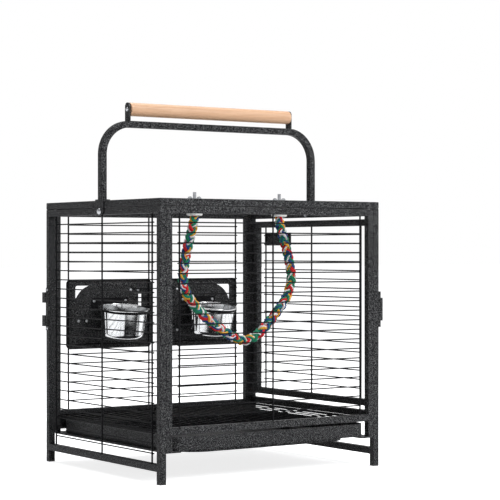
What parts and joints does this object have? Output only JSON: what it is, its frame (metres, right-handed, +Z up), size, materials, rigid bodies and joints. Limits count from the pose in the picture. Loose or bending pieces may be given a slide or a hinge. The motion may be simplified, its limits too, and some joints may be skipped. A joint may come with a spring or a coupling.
{
  "type": "bird travel carrier",
  "caption": "Square-tube bird travel carrier with wire sides, wooden carrying grip, hinged side door, swing-out feeders with steel cups, floor grate, slide-out tray and rope perch.",
  "frame": {"origin": "floor plane, at the middle of the footprint's bounding box", "axes": "+X to the right seen from the front, +Y to the back where the feeders are, +Z up"},
  "size_m": [0.48, 0.408, 0.649],
  "materials": {
    "black_coat": "black hammertone powder coat",
    "black_plastic": "black moulded plastic",
    "white_plastic": "white moulded plastic",
    "polished_steel": "polished stainless steel",
    "beech": "fine sanded light beech",
    "rope": "multicoloured twisted cotton rope",
    "zinc": "zinc plated steel"
  },
  "bodies": {
    "cage": {"left_side_frame": "black_coat", "left_side_grille": "black_coat", "right_side_frame": "black_coat", "door_hinge_posts": "black_coat", "door_hinge_pins": "zinc", "latch_keeper": "black_coat", "keeper_screws": "zinc", "front_frame": "black_coat", "front_grille": "black_coat", "back_frame": "black_coat", "back_grille": "black_coat", "tray_stop": "black_coat", "roof_frame": "black_coat", "roof_grille": "black_coat", "roof_pads": "black_coat", "leg_plugs": "black_plastic", "frame_screws": "black_coat", "handle_tube": "black_coat", "handle_brackets": "black_coat", "handle_bolts": "zinc", "grip_ears": "black_coat", "wooden_grip": "beech", "grip_screws": "zinc", "left_feeder_surround": "black_coat", "right_feeder_surround": "black_coat", "left_feeder_hinge_pin": "zinc", "right_feeder_hinge_pin": "zinc", "surround_rivets": "zinc", "tray_runners": "black_coat", "rope_perch": "rope", "perch_caps": "white_plastic", "perch_bolts": "zinc", "perch_washers": "zinc", "rear_bracket": "black_coat", "bracket_rivets": "zinc"},
    "side_door": {"door_frame": "black_coat", "door_grille": "black_coat", "door_hinge_leaves": "black_coat", "latch_guide": "black_coat", "guide_screws": "zinc", "blank_plate": "black_coat"},
    "side_latch_bar": {"latch_bar": "black_coat"},
    "tray": {"tray": "black_coat"},
    "grate": {"floor_grate": "black_coat"},
    "left_wing_nut": {"left_wing_nut": "zinc"},
    "right_wing_nut": {"right_wing_nut": "zinc"},
    "left_feeder": {"left_feeder_door": "black_coat", "left_feeder_hinge_leaf": "black_coat", "left_bolt_guide": "black_coat", "left_feeder_rivets": "zinc", "left_cup_ring": "black_coat"},
    "left_feeder_bolt": {"left_feeder_bolt": "zinc"},
    "left_cup": {"left_cup": "polished_steel"},
    "right_feeder": {"right_feeder_door": "black_coat", "right_feeder_hinge_leaf": "black_coat", "right_bolt_guide": "black_coat", "right_feeder_rivets": "zinc", "right_cup_ring": "black_coat"},
    "right_feeder_bolt": {"right_feeder_bolt": "zinc"},
    "right_cup": {"right_cup": "polished_steel"}
  },
  "joints": [
    {"name": "side_door_hinge", "type": "hinge", "parent": "cage", "child": "side_door", "pos_m": [0.2346, 0.18, 0.275], "axis": [0, 0, 1], "range_deg": [0, 170]},
    {"name": "side_latch_slide", "type": "slide", "parent": "side_door", "child": "side_latch_bar", "axis": [0, -1, 0], "range_m": [0, 0.01]},
    {"name": "left_feeder_hinge", "type": "hinge", "parent": "cage", "child": "left_feeder", "pos_m": [-0.044, 0.1971, 0.272], "axis": [0, 0, -1], "range_deg": [0, 100]},
    {"name": "right_feeder_hinge", "type": "hinge", "parent": "cage", "child": "right_feeder", "pos_m": [0.044, 0.1971, 0.272], "axis": [0, 0, 1], "range_deg": [0, 100]},
    {"name": "left_feeder_bolt_slide", "type": "slide", "parent": "left_feeder", "child": "left_feeder_bolt", "axis": [-1, 0, 0], "range_m": [0, 0.012]},
    {"name": "right_feeder_bolt_slide", "type": "slide", "parent": "right_feeder", "child": "right_feeder_bolt", "axis": [1, 0, 0], "range_m": [0, 0.012]},
    {"name": "left_cup_lift", "type": "slide", "parent": "left_feeder", "child": "left_cup", "axis": [0, -0.1392, 0.9903], "range_m": [0, 0.06]},
    {"name": "right_cup_lift", "type": "slide", "parent": "right_feeder", "child": "right_cup", "axis": [0, -0.1392, 0.9903], "range_m": [0, 0.06]},
    {"name": "tray_slide", "type": "slide", "parent": "cage", "child": "tray", "axis": [0, -1, 0], "range_m": [0, 0.37]},
    {"name": "grate_lift", "type": "slide", "parent": "cage", "child": "grate", "axis": [0, 0, 1], "range_m": [0, 0.018]},
    {"name": "left_wing_nut_turn", "type": "hinge", "parent": "cage", "child": "left_wing_nut", "pos_m": [-0.091, -0.091, 0.475], "axis": [0, 0, 1], "continuous": true},
    {"name": "right_wing_nut_turn", "type": "hinge", "parent": "cage", "child": "right_wing_nut", "pos_m": [0.091, -0.091, 0.475], "axis": [0, 0, 1], "continuous": true}
  ]
}
